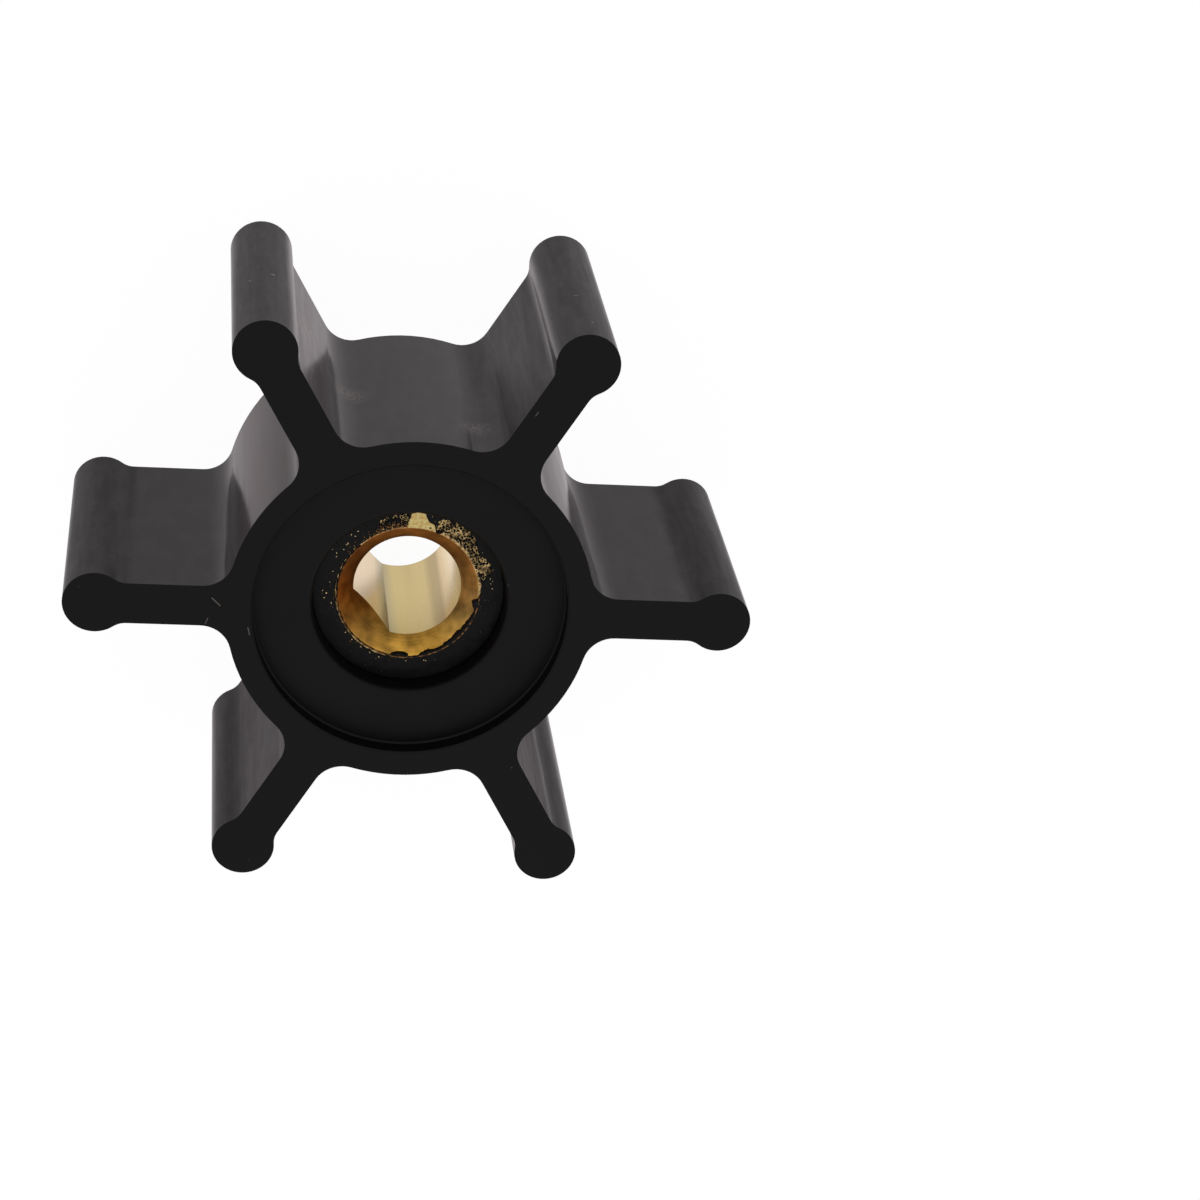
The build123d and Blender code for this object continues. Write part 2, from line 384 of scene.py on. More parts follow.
def rubber_bloom_and_reflection(node, zone, pattern):
    """Colour before any marks: mottled reddish bloom on the walls with painted reflection, lighter where they
    mirror the bright table and darker where they mirror the hub; plain bulbs; bluish black end faces, the
    blue a painted tint of the cool light from above.
    """
    blooms_and_reflections = []
    for table in (HUB_BLOOM_AND_REFLECTION, VANE_BLOOM_AND_REFLECTION):
        bloom_and_reflection = node("ShaderNodeValToRGB", {0: zone.turn})
        set_stops(bloom_and_reflection, table, span=360)
        blooms_and_reflections.append(bloom_and_reflection.outputs[0])
    # Painted shade: near the hub the roots take the hub's darker colours, and out on the vanes the vanes'
    # colours take over.
    on_vane = node("ShaderNodeMapRange", {
        "Value": zone.radius, "From Min": ROOT_ENDS * MM, "From Max": VANE_STARTS * MM}).outputs[0]
    bloom_and_reflection = node("ShaderNodeMix", {0: on_vane, 6: blooms_and_reflections[0], 7: blooms_and_reflections[1]}, data_type="RGBA").outputs[2]
    mottle = node("ShaderNodeMath", {0: pattern.blotch, 1: pattern.rubbed}, operation="ADD").outputs[0]
    mottle = node("ShaderNodeMapRange", {
        "Value": mottle, "From Min": 0.75, "From Max": 1.25, "To Min": 0.45, "To Max": 0.9}).outputs[0]
    tint = node("ShaderNodeMix", {0: mottle, 6: srgb(WALL_BLACK), 7: bloom_and_reflection}, data_type="RGBA").outputs[2]
    tint = node("ShaderNodeMix", {0: zone.bulb, 6: tint, 7: srgb(BULB_BLACK)}, data_type="RGBA").outputs[2]
    return node("ShaderNodeMix", {
        0: zone.ends_or_pocket, 6: tint, 7: srgb(CUT_BLACK_SKY_TINTED)}, data_type="RGBA").outputs[2]


def rubbed_strokes(node, zone, tint):
    """Pale slanting strokes rubbed into one vane's flank, fading out round their middle."""
    along = node("ShaderNodeVectorMath", {
        0: zone.place, 1: STROKES_ALONG}, operation="DOT_PRODUCT").outputs["Value"]
    across = node("ShaderNodeVectorMath", {
        0: zone.place, 1: STROKES_ACROSS}, operation="DOT_PRODUCT").outputs["Value"]
    stretched = node("ShaderNodeMath", {0: along, 1: STROKES_OUT}, operation="MULTIPLY").outputs[0]
    strokes = node("ShaderNodeCombineXYZ", {0: stretched, 1: across}).outputs[0]
    strokes = node("ShaderNodeTexNoise", {
        "Vector": strokes, "Scale": 1 / (STROKES * MM), "Detail": 3.0}).outputs["Fac"]
    strokes = node("ShaderNodeMapRange", {"Value": strokes, "From Min": 0.50, "From Max": 0.66}).outputs[0]
    away = node("ShaderNodeVectorMath", {
        0: zone.place, 1: Vector(STROKES_MIDDLE) * MM}, operation="DISTANCE").outputs["Value"]
    near = node("ShaderNodeMapRange", {
        "Value": away, "From Min": STROKES_FULL * MM, "From Max": STROKES_END * MM,
        "To Min": STROKES_STRENGTH, "To Max": 0.0}).outputs[0]
    strokes = node("ShaderNodeMath", {0: strokes, 1: near}, operation="MULTIPLY").outputs[0]
    off_flank = node("ShaderNodeMath", {0: zone.facing, 1: 0.25}, operation="GREATER_THAN").outputs[0]
    for other in (zone.ends, zone.bulb):
        off_flank = node("ShaderNodeMath", {0: off_flank, 1: other}, operation="MAXIMUM").outputs[0]
    strokes = node("ShaderNodeMix", {0: off_flank, 2: strokes, 3: 0.0}).outputs[0]
    return node("ShaderNodeMix", {0: strokes, 6: tint, 7: srgb(STROKE_GREY)}, data_type="RGBA").outputs[2]


def haze(node, zone, tint):
    """Thin grey haze in clouds on the moulded walls, drawn out along the axis."""
    clouds = node("ShaderNodeMapping", {"Vector": zone.place, "Scale": (1, 1, HAZE_OUT)}).outputs[0]
    clouds = node("ShaderNodeTexNoise", {
        "Vector": clouds, "Scale": 1 / (HAZE_CLOUDS * MM), "Detail": 6.0, "Roughness": 0.65}).outputs["Fac"]
    clouds = node("ShaderNodeMapRange", {
        "Value": clouds, "From Min": 0.45, "From Max": 0.72, "To Max": 0.32}).outputs[0]
    clouds = node("ShaderNodeMix", {0: zone.ends_or_pocket, 2: clouds, 3: 0.0}).outputs[0]
    return node("ShaderNodeMix", {0: clouds, 6: tint, 7: srgb(HAZE_GREY)}, data_type="RGBA").outputs[2]


def scuffs(node, zone, tint):
    """Round scuffs of fine pale scratches."""
    scratched = node("ShaderNodeTexNoise", {
        "Vector": zone.place, "Scale": 1 / (SCRATCHES * MM), "Detail": 6.0}).outputs["Fac"]
    scratched = node("ShaderNodeMapRange", {
        "Value": scratched, "From Min": 0.40, "From Max": 0.64}).outputs[0]
    for middle, reach, strength in SCUFFS:
        away = node("ShaderNodeVectorMath", {
            0: zone.place, 1: Vector(middle) * MM}, operation="DISTANCE").outputs["Value"]
        near = node("ShaderNodeMapRange", {
            "Value": away, "From Min": 0.0, "From Max": reach * MM,
            "To Min": strength, "To Max": 0.0}).outputs[0]
        scuff = node("ShaderNodeMath", {0: near, 1: scratched}, operation="MULTIPLY").outputs[0]
        tint = node("ShaderNodeMix", {0: scuff, 6: tint, 7: srgb(SCUFF_GREY)}, data_type="RGBA").outputs[2]
    return tint


def dust(node, zone, tint):
    """Grey grains of dust, a few here and there."""
    grains = node("ShaderNodeTexVoronoi", {
        "Vector": zone.place, "Scale": 1 / (DUST_SPACING * MM)}).outputs["Distance"]
    grains = node("ShaderNodeMapRange", {
        "Value": grains, "From Min": 0.03, "From Max": 0.05, "To Min": 1.0, "To Max": 0.0}).outputs[0]
    kept = node("ShaderNodeTexNoise", {
        "Vector": zone.place, "Scale": 1 / (DUST_CLUSTERS * MM)}).outputs["Fac"]
    kept = node("ShaderNodeMapRange", {"Value": kept, "From Min": 0.55, "From Max": 0.65}).outputs[0]
    grains = node("ShaderNodeMath", {0: grains, 1: kept}, operation="MULTIPLY").outputs[0]
    return node("ShaderNodeMix", {0: grains, 6: tint, 7: srgb(DUST_GREY)}, data_type="RGBA").outputs[2]


def nicks(node, zone, tint):
    """Small pale nicks, each a short line with a soft edge."""
    for middle, half_run, half_width, paleness in NICKS:
        run, half_length = Vector(half_run).normalized(), Vector(half_run).length * MM
        offset = node("ShaderNodeVectorMath", {
            0: zone.place, 1: Vector(middle) * MM}, operation="SUBTRACT").outputs[0]
        along = node("ShaderNodeVectorMath", {0: offset, 1: run}, operation="DOT_PRODUCT").outputs["Value"]
        along = node("ShaderNodeClamp", {"Value": along, "Min": -half_length, "Max": half_length}).outputs[0]
        foot = node("ShaderNodeVectorMath", {0: run, "Scale": along}, operation="SCALE").outputs[0]
        away = node("ShaderNodeVectorMath", {0: offset, 1: foot}, operation="DISTANCE").outputs["Value"]
        nick = node("ShaderNodeMapRange", {
            "Value": away, "From Min": half_width * 0.4 * MM, "From Max": half_width * MM,
            "To Min": paleness, "To Max": 0.0}).outputs[0]
        tint = node("ShaderNodeMix", {0: nick, 6: tint, 7: srgb(NICK_GREY)}, data_type="RGBA").outputs[2]
    return tint


def brass_specks_and_lip_highlight(node, zone, grain):
    """Where brass dust is ground into the film, thinning outwards; and a painted highlight, a thin gold line
    along half of the mouth's rim.
    """
    dusted = node("ShaderNodeValToRGB", {0: zone.turn})
    set_stops(dusted, BRASS_DUST, span=360)
    inward = node("ShaderNodeMapRange", {
        "Value": zone.radius, "From Min": DUSTED_FULL * MM, "From Max": DUSTED_ENDS * MM,
        "To Min": 1.0, "To Max": 0.0}).outputs[0]
    dusted = node("ShaderNodeMath", {0: dusted.outputs[0], 1: inward}, operation="MULTIPLY").outputs[0]
    specks_and_lip_highlight = node("ShaderNodeTexNoise", {
        "Vector": zone.place, "Scale": 1 / (BRASS_SPECKS * MM), "Detail": 2.0}).outputs["Fac"]
    specks_and_lip_highlight = node("ShaderNodeMath", {0: dusted, 1: 0.32, 2: specks_and_lip_highlight}, operation="MULTIPLY_ADD").outputs[0]
    specks_and_lip_highlight = node("ShaderNodeMapRange", {"Value": specks_and_lip_highlight, "From Min": 0.74, "From Max": 0.82}).outputs[0]

    # Painted highlight: a thin gold line along the film's lip, round half of the mouth.
    rim = node("ShaderNodeMath", {0: zone.radius, 1: LIP_HIGHLIGHT_RADIUS * MM}, operation="SUBTRACT").outputs[0]
    rim = node("ShaderNodeMath", {0: rim}, operation="ABSOLUTE").outputs[0]
    rim = node("ShaderNodeMapRange", {
        "Value": rim, "From Min": LIP_HIGHLIGHT_FULL * MM, "From Max": LIP_HIGHLIGHT_ENDS * MM,
        "To Min": 0.75, "To Max": 0.0}).outputs[0]
    broken = node("ShaderNodeMapRange", {"Value": grain, "From Min": 0.40, "From Max": 0.60}).outputs[0]
    half_round = node("ShaderNodeMath", {0: zone.turn, 1: 0.5}, operation="GREATER_THAN").outputs[0]
    for limit in (broken, half_round):
        rim = node("ShaderNodeMath", {0: rim, 1: limit}, operation="MULTIPLY").outputs[0]
    specks_and_lip_highlight = node("ShaderNodeMath", {0: specks_and_lip_highlight, 1: rim}, operation="MAXIMUM").outputs[0]

    on_film = node("ShaderNodeMath", {
        0: zone.height, 1: FACE_HEIGHT * MM}, operation="GREATER_THAN").outputs[0]
    in_seat = node("ShaderNodeMath", {0: zone.radius, 1: SEAT_RADIUS * MM}, operation="LESS_THAN").outputs[0]
    for limit in (on_film, in_seat):
        specks_and_lip_highlight = node("ShaderNodeMath", {0: specks_and_lip_highlight, 1: limit}, operation="MULTIPLY").outputs[0]
    return specks_and_lip_highlight


def rubber_material():
    """Nitrile rubber, compression moulded: near black; glossy walls from a polished mould, dull cut ends."""
    material, tree, output = new_material("nitrile_rubber_moulded")
    node = partial(add_node, tree)
    zone = rubber_zones(node)
    pattern = rubber_patterns(node, zone.place)
    tint = rubber_bloom_and_reflection(node, zone, pattern)
    for lay_over in (rubbed_strokes, haze, scuffs, dust, nicks):
        tint = lay_over(node, zone, tint)
    specks_and_lip_highlight = brass_specks_and_lip_highlight(node, zone, pattern.grain)
    # Brass dust and the painted highlight along the film's lip, in gold and metallic.
    tint = node("ShaderNodeMix", {0: specks_and_lip_highlight, 6: tint, 7: srgb(BRASS_DUST_AND_HIGHLIGHT_GOLD)}, data_type="RGBA").outputs[2]
    bump = node("ShaderNodeBump", {
        "Height": pattern.grain, "Strength": GRAIN_STRENGTH, "Distance": GRAIN_HEIGHT * MM})
    shader = node("ShaderNodeBsdfPrincipled", {
        "Base Color": tint,
        "Metallic": specks_and_lip_highlight,
        "Roughness": rubber_roughness(node, zone, pattern),
        "IOR": RUBBER_IOR,
        "Normal": bump.outputs["Normal"],
    })
    tree.links.new(shader.outputs[0], output.inputs["Surface"])
    return material


def brass_zones(node):
    """Where a point of the brass lies, and masks for the lead-ins and the end faces; the rest is the bore."""
    place = node("ShaderNodeTexCoord").outputs["Object"]
    xyz = node("ShaderNodeSeparateXYZ", {0: place}).outputs
    radius = axis_distance(node, place)
    depth = node("ShaderNodeMath", {0: xyz["Z"], 1: MIDDLE * MM}, operation="SUBTRACT").outputs[0]
    depth = node("ShaderNodeMath", {0: depth}, operation="ABSOLUTE").outputs[0]
    cone = node("ShaderNodeMath", {
        0: radius, 1: -LEAD_IN_SLOPE, 2: depth}, operation="MULTIPLY_ADD").outputs[0]
    cone_depth = FACE_HEIGHT - MIDDLE - MOUTH_RADIUS * LEAD_IN_SLOPE
    lead_in = node("ShaderNodeMapRange", {
        "Value": cone, "From Min": (cone_depth - 0.06) * MM, "From Max": (cone_depth - 0.03) * MM}).outputs[0]
    face = node("ShaderNodeMapRange", {
        "Value": radius, "From Min": MOUTH_RADIUS * MM, "From Max": (MOUTH_RADIUS + 0.03) * MM}).outputs[0]
    return SimpleNamespace(
        place=place, height=xyz["Z"], depth=depth, radius=radius, turn=share_of_turn(node, xyz),
        lead_in=lead_in, face=face)


def brass_patterns(node, zone):
    """Streaks along the bore from the reamer, tool rings on the lead-in, and the torn face's grit."""
    streak = node("ShaderNodeMapping", {"Vector": zone.place, "Scale": (1, 1, STREAKED_OUT)}).outputs[0]
    ring = node("ShaderNodeCombineXYZ", {0: zone.radius, 2: zone.depth}).outputs[0]
    patterns = {}
    for name, vector, size, detail in (
            ("streak", streak, REAMER_STREAKS, 3.0), ("cloud", zone.place, TARNISH_CLOUDS, 6.0),
            ("ring", ring, TOOL_RINGS, 2.0), ("grit", zone.place, TORN_GRIT, 4.0),
            ("patch", zone.place, TORN_PATCHES, 2.0)):
        patterns[name] = node("ShaderNodeTexNoise", {
            "Vector": vector, "Scale": 1 / (size * MM), "Detail": detail}).outputs["Fac"]
    return SimpleNamespace(**patterns)


def bore_colour(node, zone, pattern):
    """Pale brass with painted light and shade in bands round the axis, and reamer streaks."""
    shade_bands = node("ShaderNodeValToRGB", {0: zone.turn})
    set_stops(shade_bands, BORE_SHADE_BANDS, span=360)
    lift = node("ShaderNodeMapRange", {
        "Value": pattern.streak, "From Min": 0.3, "From Max": 0.7, "To Min": 0.88, "To Max": 1.12}).outputs[0]
    return node("ShaderNodeVectorMath", {0: shade_bands.outputs[0], "Scale": lift}, operation="SCALE").outputs[0]


def lead_in_colour(node, zone, pattern):
    """Brown tarnish in clouds and tool rings, coloured by angle with painted reflection, darker towards the
    bore as painted shade, with one place rubbed bright.
    """
    brown = node("ShaderNodeValToRGB", {0: zone.turn})
    set_stops(brown, LEAD_IN_TARNISH_AND_REFLECTION, span=360)
    shade = node("ShaderNodeMath", {
        0: pattern.ring, 1: RING_WEIGHT, 2: pattern.cloud}, operation="MULTIPLY_ADD").outputs[0]
    shade = node("ShaderNodeMapRange", {
        "Value": shade, "From Min": 0.44, "From Max": 0.80, "To Min": 0.6, "To Max": 1.4}).outputs[0]
    # Painted shade: the lead-in darker towards the bore.
    outward = node("ShaderNodeMapRange", {
        "Value": zone.radius, "From Min": LEAD_IN_DARKEST * MM, "From Max": LEAD_IN_PALEST * MM,
        "To Min": 0.74, "To Max": 1.18}).outputs[0]
    away = node("ShaderNodeVectorMath", {
        0: zone.place, 1: Vector(RUBBED_PLACE) * MM}, operation="DISTANCE").outputs["Value"]
    rubbed = node("ShaderNodeMapRange", {
        "Value": away, "From Min": RUBBED_FULL * MM, "From Max": RUBBED_ENDS * MM,
        "To Min": 1.5, "To Max": 1.0}).outputs[0]
    for factor in (outward, rubbed):
        shade = node("ShaderNodeMath", {0: shade, 1: factor}, operation="MULTIPLY").outputs[0]
    return node("ShaderNodeVectorMath", {0: brown.outputs[0], "Scale": shade}, operation="SCALE").outputs[0]


def face_colour(node, zone, pattern):
    """Gold on the bare patch, the plain hidden end and loose chips; dusky in patches under torn rubber."""
    gold = node("ShaderNodeValToRGB", {0: pattern.grit})
    set_stops(gold, BARE_GOLD)
    dusky = node("ShaderNodeValToRGB", {0: pattern.grit})
    set_stops(dusky, DUSKY_GOLD)
    patchy = node("ShaderNodeMapRange", {
        "Value": pattern.patch, "From Min": 0.40, "From Max": 0.60, "To Min": 0.45, "To Max": 1.2}).outputs[0]
    rim = node("ShaderNodeMapRange", {
        "Value": zone.radius, "From Min": BRIGHT_RIM_FULL * MM, "From Max": BRIGHT_RIM_ENDS * MM,
        "To Min": 1.0, "To Max": 0.0}).outputs[0]
    patchy = node("ShaderNodeMath", {0: patchy, 1: rim}, operation="MAXIMUM").outputs[0]
    dusky = node("ShaderNodeVectorMath", {0: dusky.outputs[0], "Scale": patchy}, operation="SCALE").outputs[0]
    away = node("ShaderNodeVectorMath", {
        0: zone.place, 1: Vector(BARE_PLACE) * MM}, operation="DISTANCE").outputs["Value"]
    away = node("ShaderNodeMapRange", {
        "Value": away, "From Min": BARE_FULL * MM, "From Max": BARE_ENDS * MM}).outputs[0]
    torn_end = node("ShaderNodeMath", {0: zone.height, 1: MIDDLE * MM}, operation="GREATER_THAN").outputs[0]
    away = node("ShaderNodeMath", {0: away, 1: torn_end}, operation="MULTIPLY").outputs[0]
    gold = node("ShaderNodeMix", {0: away, 6: gold.outputs[0], 7: dusky}, data_type="RGBA").outputs[2]
    loose = node("ShaderNodeMath", {
        0: zone.depth, 1: (FACE_HEIGHT - MIDDLE + 0.08) * MM}, operation="GREATER_THAN").outputs[0]
    return node("ShaderNodeMix", {0: loose, 6: gold, 7: srgb(FLECK_GOLD)}, data_type="RGBA").outputs[2]


def brass_material():
    """Free-cutting brass, turned and reamed: pale streaked bore with painted light and shade in bands, rough
    gold face, brown tarnished lead-in with painted reflection and shade.
    """
    material, tree, output = new_material("brass_turned")
    node = partial(add_node, tree)
    zone = brass_zones(node)
    pattern = brass_patterns(node, zone)
    bore, lead_in = bore_colour(node, zone, pattern), lead_in_colour(node, zone, pattern)
    colour = node("ShaderNodeMix", {0: zone.lead_in, 6: bore, 7: lead_in}, data_type="RGBA").outputs[2]
    face = face_colour(node, zone, pattern)
    colour = node("ShaderNodeMix", {0: zone.face, 6: colour, 7: face}, data_type="RGBA").outputs[2]
    rough = node("ShaderNodeMapRange", {
        "Value": pattern.streak, "From Min": 0.3, "From Max": 0.7,
        "To Min": BORE_SMOOTHEST, "To Max": BORE_ROUGHEST}).outputs[0]
    rough = node("ShaderNodeMix", {0: zone.lead_in, 2: rough, 3: LEAD_IN_ROUGHNESS}).outputs[0]
    rough = node("ShaderNodeMix", {0: zone.face, 2: rough, 3: FACE_ROUGHNESS}).outputs[0]
    height = node("ShaderNodeMix", {0: zone.lead_in, 2: pattern.streak, 3: pattern.ring}).outputs[0]
    height = node("ShaderNodeMix", {0: zone.face, 2: height, 3: pattern.grit}).outputs[0]
    bump = node("ShaderNodeBump", {
        "Height": height, "Strength": TOOL_MARK_STRENGTH, "Distance": TOOL_MARK_HEIGHT * MM})
    bare = node("ShaderNodeValToRGB", {0: zone.turn})
    set_stops(bare, LEAD_IN_BARE, span=360)
    metal = node("ShaderNodeMix", {0: zone.lead_in, 2: 1.0, 3: bare.outputs[0]}).outputs[0]
    shader = node("ShaderNodeBsdfPrincipled", {
        "Base Color": colour,
        "Metallic": metal,
        "Roughness": rough,
        "Normal": bump.outputs["Normal"],
    })
    tree.links.new(shader.outputs[0], output.inputs["Surface"])
    return material


def assign(piece, material):
    """Puts one material on every slot of a piece."""
    if not piece.data.materials:
        piece.data.materials.append(material)
    for index in range(len(piece.data.materials)):
        piece.data.materials[index] = material


def new_object(name, data):
    """Adds a mesh or a camera to the scene as an object at the origin."""
    added = bpy.data.objects.new(name, data)
    bpy.context.scene.collection.objects.link(added)
    return added


def new_piece(name, mesh, material):
    """Adds a mesh as a piece that rides on the part."""
    piece = new_object(name, mesh)
    assign(piece, material)
    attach(piece, "root")


def between(value, low, high):
    """Smooth step from 0 at low to 1 at high."""
    share = min(max((value - low) / (high - low), 0.0), 1.0)
    return share * share * (3 - 2 * share)


def inside_outline(x, y, outline):
    """Distance inside a closed outline in millimetres, negative outside."""
    nearest, odd = math.inf, False
    for (ax, ay), (bx, by) in zip(outline, outline[1:] + outline[:1]):
        ux, uy = bx - ax, by - ay
        along = min(max(((x - ax) * ux + (y - ay) * uy) / (ux * ux + uy * uy), 0.0), 1.0)
        nearest = min(nearest, math.hypot(x - ax - along * ux, y - ay - along * uy))
        if (ay > y) != (by > y) and x < ax + (y - ay) * ux / uy:
            odd = not odd
    return nearest if odd else -nearest


def film_edge(angle):
    """Radius in millimetres at which the film starts at an angle in degrees."""
    for (low, start), (high, end) in zip(FILM_EDGE, FILM_EDGE[1:]):
        if low <= angle <= high:
            return start + (end - start) * (angle - low) / (high - low)
    return FILM_EDGE[0][1]


def waves_at(place, waves):
    """Noise at a place, from (height, waves per millimetre) pairs."""
    return sum(height * noise.noise(place * rate) for height, rate in waves)


def film_reach(x, y):
    """How far a point lies inside the rubber film in millimetres, negative where brass shows."""
    radius, angle = math.hypot(x, y), math.degrees(math.atan2(y, x))
    place = Vector((x, y, 0.0))
    ragged = waves_at(place, RAGGED_WAVES)
    reach = radius - film_edge(angle) + ragged
    if angle > RIM_FROM or angle < RIM_TO:
        reach = max(reach, RIM_HALF_WIDTH - abs(radius - RIM_RADIUS) + 0.8 * ragged)
    for outline, crumb, seam in CRUMBLED:
        depth = inside_outline(x, y, outline) + 2 * ragged
        if depth > -0.05:
            bent = place + CRUMB_BEND * noise.noise_vector(place * CRUMB_BEND_WAVES)
            distances = noise.voronoi(bent / crumb)[0]
            grain = (distances[1] - distances[0] - seam) * crumb + crumb * waves_at(place, CRUMB_WAVES)
            reach = min(reach, max(grain, -0.6 * depth))
    reach = min(reach, -inside_outline(x, y, BARE_PATCH) - ragged)
    for nib_x, nib_y, half_length, half_width in RUBBER_NIBS:
        away = math.hypot((x - nib_x) / half_length, (y - nib_y) / half_width)
        reach = max(reach, (1 - away) * half_width)
    return reach


def torn_film(material):
    """Thin rubber film moulded over the brass face, torn back round the bore, dipping into the brass."""
    noise.seed_set(FILM_SEED)
    work = bmesh.new()
    top, low = [], []
    for radius in FILM_RADII:
        brass = FACE_HEIGHT - max(MOUTH_RADIUS - radius, 0.0) * LEAD_IN_SLOPE
        for step in range(FILM_STEPS_ROUND):
            angle = step / FILM_STEPS_ROUND * math.tau
            x, y = radius * math.cos(angle), radius * math.sin(angle)
            reach = film_reach(x, y)
            share = between(reach, -FILM_EDGE_WIDTH / 2, FILM_EDGE_WIDTH)
            crest = FACE_HEIGHT + FILM_THICKNESS + FILM_SWELL * noise.noise(Vector((x, y, 3.0)) * 1.5)
            under = brass - FILM_SUNK
            top.append((work.verts.new((x * MM, y * MM, (under + share * (crest - under)) * MM)), reach))
            low.append(work.verts.new((x * MM, y * MM, (under - FILM_SKIRT) * MM)))
    for ring in range(len(FILM_RADII) - 1):
        here, outside = ring * FILM_STEPS_ROUND, (ring + 1) * FILM_STEPS_ROUND
        for step in range(FILM_STEPS_ROUND):
            after = (step + 1) % FILM_STEPS_ROUND
            corners = [here + step, outside + step, outside + after, here + after]
            if max(top[corner][1] for corner in corners) > -FILM_EDGE_WIDTH / 2:
                work.faces.new([top[corner][0] for corner in corners])
                work.faces.new([low[corner] for corner in reversed(corners)])
    partner = {vertex: below for (vertex, _), below in zip(top, low)}
    for edge in [edge for edge in work.edges if edge.is_boundary]:
        start, end = edge.link_loops[0].vert, edge.link_loops[0].link_loop_next.vert
        if start in partner:
            work.faces.new([end, start, partner[start], partner[end]])
    bmesh.ops.delete(work, geom=[vertex for vertex in work.verts if not vertex.link_faces], context="VERTS")
    for face in work.faces:
        face.smooth = True
    mesh = bpy.data.meshes.new("torn_rubber_film")
    work.to_mesh(mesh)
    work.free()
    new_piece("torn_rubber_film", mesh, material)


def chips_tree():
    """Geometry nodes: one small flattened chip on each point, turned and sized at random."""
    tree = bpy.data.node_groups.new("chips_on_points", "GeometryNodeTree")
    sockets = {}
    for name, kind in (
            ("Points", "Geometry"), ("Diameter", "Float"), ("Seed", "Int"), ("Material", "Material")):
        socket = tree.interface.new_socket(name, in_out="INPUT", socket_type="NodeSocket" + kind)
        sockets[name] = socket.identifier
    tree.interface.new_socket("Chips", in_out="OUTPUT", socket_type="NodeSocketGeometry")
    node = partial(add_node, tree)
    given = node("NodeGroupInput").outputs
    ball = node("GeometryNodeMeshIcoSphere", {"Radius": given["Diameter"], "Subdivisions": 1})
    chip = node("GeometryNodeTransform", {"Geometry": ball.outputs[0], "Scale": FLECK_PROPORTIONS})
    turn = node("FunctionNodeRandomValue", {
        0: (-FLECK_TILT, -FLECK_TILT, 0), 1: (FLECK_TILT, FLECK_TILT, math.tau), "Seed": given["Seed"]},
        data_type="FLOAT_VECTOR")
    size = node("FunctionNodeRandomValue", {
        0: FLECK_SMALLEST, 1: FLECK_LARGEST, "Seed": given["Seed"]}, data_type="FLOAT_VECTOR")
    placed = node("GeometryNodeInstanceOnPoints", {
        "Points": given["Points"], "Instance": chip.outputs[0], "Rotation": turn.outputs[0],
        "Scale": size.outputs[0]})
    real = node("GeometryNodeRealizeInstances", {0: placed.outputs[0]})
    done = node("GeometryNodeSetMaterial", {"Geometry": real.outputs[0], "Material": given["Material"]})
    node("NodeGroupOutput", {0: done.outputs[0]})
    return tree, sockets


def brass_flecks(material):
    """Chips of brass torn up with the film and left lying on it."""
    points = bpy.data.meshes.new("fleck_points")
    height = FACE_HEIGHT + FILM_THICKNESS
    points.from_pydata([(x * MM, y * MM, height * MM) for x, y in FLECK_PLACES], [], [])
    carrier = new_object("fleck_carrier", points)
    tree, sockets = chips_tree()
    scatter = carrier.modifiers.new("chips", "NODES")
    scatter.node_group = tree
    scatter[sockets["Diameter"]] = FLECK_DIAMETER
    scatter[sockets["Seed"]] = FLECK_SEED
    scatter[sockets["Material"]] = material
    shown = carrier.evaluated_get(bpy.context.evaluated_depsgraph_get())
    mesh = bpy.data.meshes.new_from_object(shown)
    bpy.data.objects.remove(carrier)
    new_piece("brass_flecks", mesh, material)


def table_material():
    """Matt white table: white to the camera with a faint shadow, about half as bright in gloss, dimmer there
    past the left vane, brighter under the bore; one-sided, so that it hides nothing from beneath."""
    material, tree, output = new_material("white_table")
    node = partial(add_node, tree)
    ray = node("ShaderNodeLightPath").outputs
    place = node("ShaderNodeTexCoord").outputs["Object"]
    away = node("ShaderNodeVectorMath", {0: place}, operation="LENGTH").outputs["Value"]
    aside = node("ShaderNodeSeparateXYZ", {0: place}).outputs["X"]
    falloff = node("ShaderNodeMapRange", {
        "Value": aside, "From Min": DIMMED_X, "From Max": UNDIMMED_X,
        "To Min": TABLE_TO_GLOSS_DIMMED, "To Max": TABLE_TO_GLOSS}).outputs[0]
    gloss = node("ShaderNodeMapRange", {
        "Value": away, "From Min": BORE_LIGHT_RADIUS, "From Max": BORE_LIGHT_FADED,
        "To Min": 1.0, "To Max": falloff}).outputs[0]
    gloss = node("ShaderNodeMath", {0: ray["Is Glossy Ray"], 1: gloss}, operation="MULTIPLY").outputs[0]
    seen = node("ShaderNodeMath", {
        0: ray["Is Camera Ray"], 1: TABLE_TO_CAMERA}, operation="MULTIPLY").outputs[0]
    for other in (gloss, ray["Is Transmission Ray"]):
        seen = node("ShaderNodeMath", {0: seen, 1: other}, operation="MAXIMUM").outputs[0]
    diffuse = node("ShaderNodeBsdfDiffuse", {"Color": srgb(TABLE_WHITE)}).outputs[0]
    light = node("ShaderNodeMix", {
        0: ray["Is Camera Ray"], 6: srgb(TABLE_GLOW_IN_GLOSS), 7: srgb(WHITE)}, data_type="RGBA").outputs[2]
    glow = node("ShaderNodeEmission", {"Color": light, "Strength": TABLE_GLOW}).outputs[0]
    shown = node("ShaderNodeMixShader", {"Fac": seen, 1: diffuse, 2: glow}).outputs[0]
    beneath = node("ShaderNodeNewGeometry").outputs["Backfacing"]
    clear = node("ShaderNodeBsdfTransparent").outputs[0]
    shown = node("ShaderNodeMixShader", {"Fac": beneath, 1: shown, 2: clear}).outputs[0]
    tree.links.new(shown, output.inputs["Surface"])
    return material


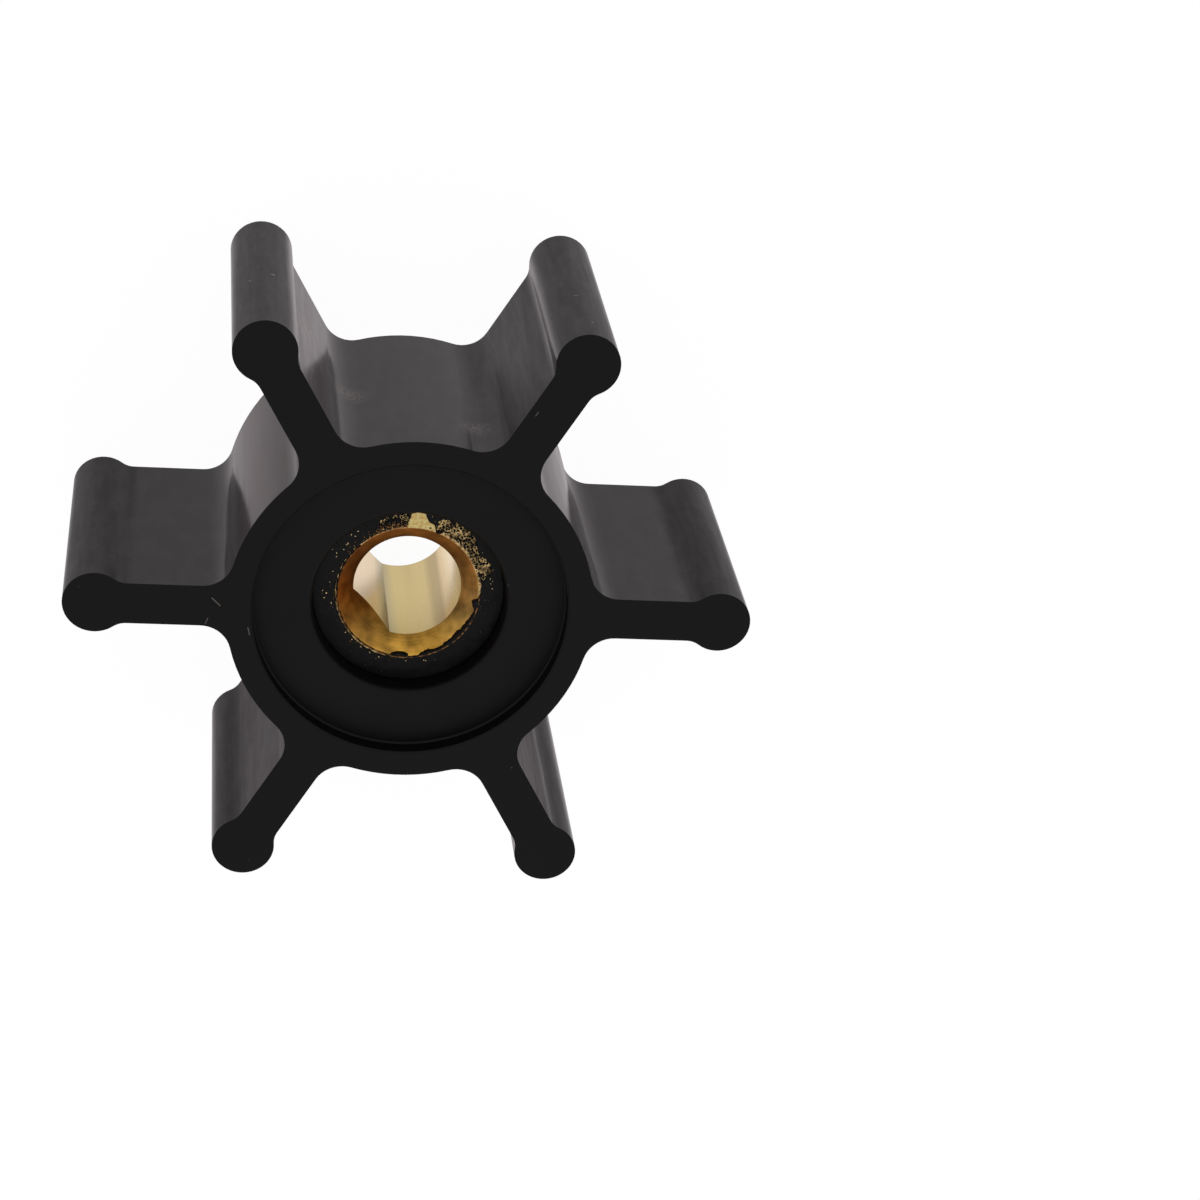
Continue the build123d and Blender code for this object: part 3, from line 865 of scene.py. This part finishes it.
def white_table():
    """Wide table top, a hair below the part."""
    mesh = bpy.data.meshes.new("table_top")
    work = bmesh.new()
    bmesh.ops.create_grid(work, x_segments=1, y_segments=1, size=TABLE_SIZE / 2)
    work.to_mesh(mesh)
    work.free()
    mesh.transform(Matrix.Translation((0, 0, -TABLE_DROP)))
    table = new_object("table_top", mesh)
    assign(table, table_material())


def light_world():
    """White all round to the camera, and one even soft sky for light and gloss."""
    world = bpy.data.worlds.new("studio")
    bpy.context.scene.world = world
    world.use_nodes = True
    tree = world.node_tree
    tree.nodes.clear()
    node = partial(add_node, tree)
    seen = node("ShaderNodeLightPath").outputs["Is Camera Ray"]
    sky = [SKY_LEVEL, SKY_LEVEL, SKY_LEVEL, 1.0]
    colour = node("ShaderNodeMix", {0: seen, 6: sky, 7: srgb(WHITE)}, data_type="RGBA").outputs[2]
    background = node("ShaderNodeBackground", {"Color": colour, "Strength": 1.0}).outputs[0]
    tree.links.new(background, node("ShaderNodeOutputWorld").inputs["Surface"])


def place_camera():
    """Camera above and beyond the part, rolled nearly half a turn, so that the near vanes are at the top."""
    data = bpy.data.cameras.new("camera")
    data.sensor_width = SENSOR_WIDTH
    data.lens = CAMERA_LENS
    data.clip_start = CAMERA_CLIP_START
    camera = new_object("camera", data)
    azimuth, elevation = math.radians(CAMERA_AZIMUTH), math.radians(CAMERA_ELEVATION)
    flat = math.cos(elevation)
    outward = Vector((math.sin(azimuth) * flat, -math.cos(azimuth) * flat, math.sin(elevation)))
    camera.location = CAMERA_TARGET + outward * CAMERA_DISTANCE
    camera.rotation_mode = "QUATERNION"
    upright = (-outward).to_track_quat("-Z", "Y")
    camera.rotation_quaternion = Quaternion(outward, math.radians(CAMERA_ROLL)) @ upright
    bpy.context.scene.camera = camera


place_camera()
light_world()
white_table()
rubber = rubber_material()
brass = brass_material()
assign(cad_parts["rubber_impeller"], rubber)
assign(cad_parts["brass_insert"], brass)
torn_film(rubber)
brass_flecks(brass)
bpy.context.scene.view_settings.view_transform = "Standard"
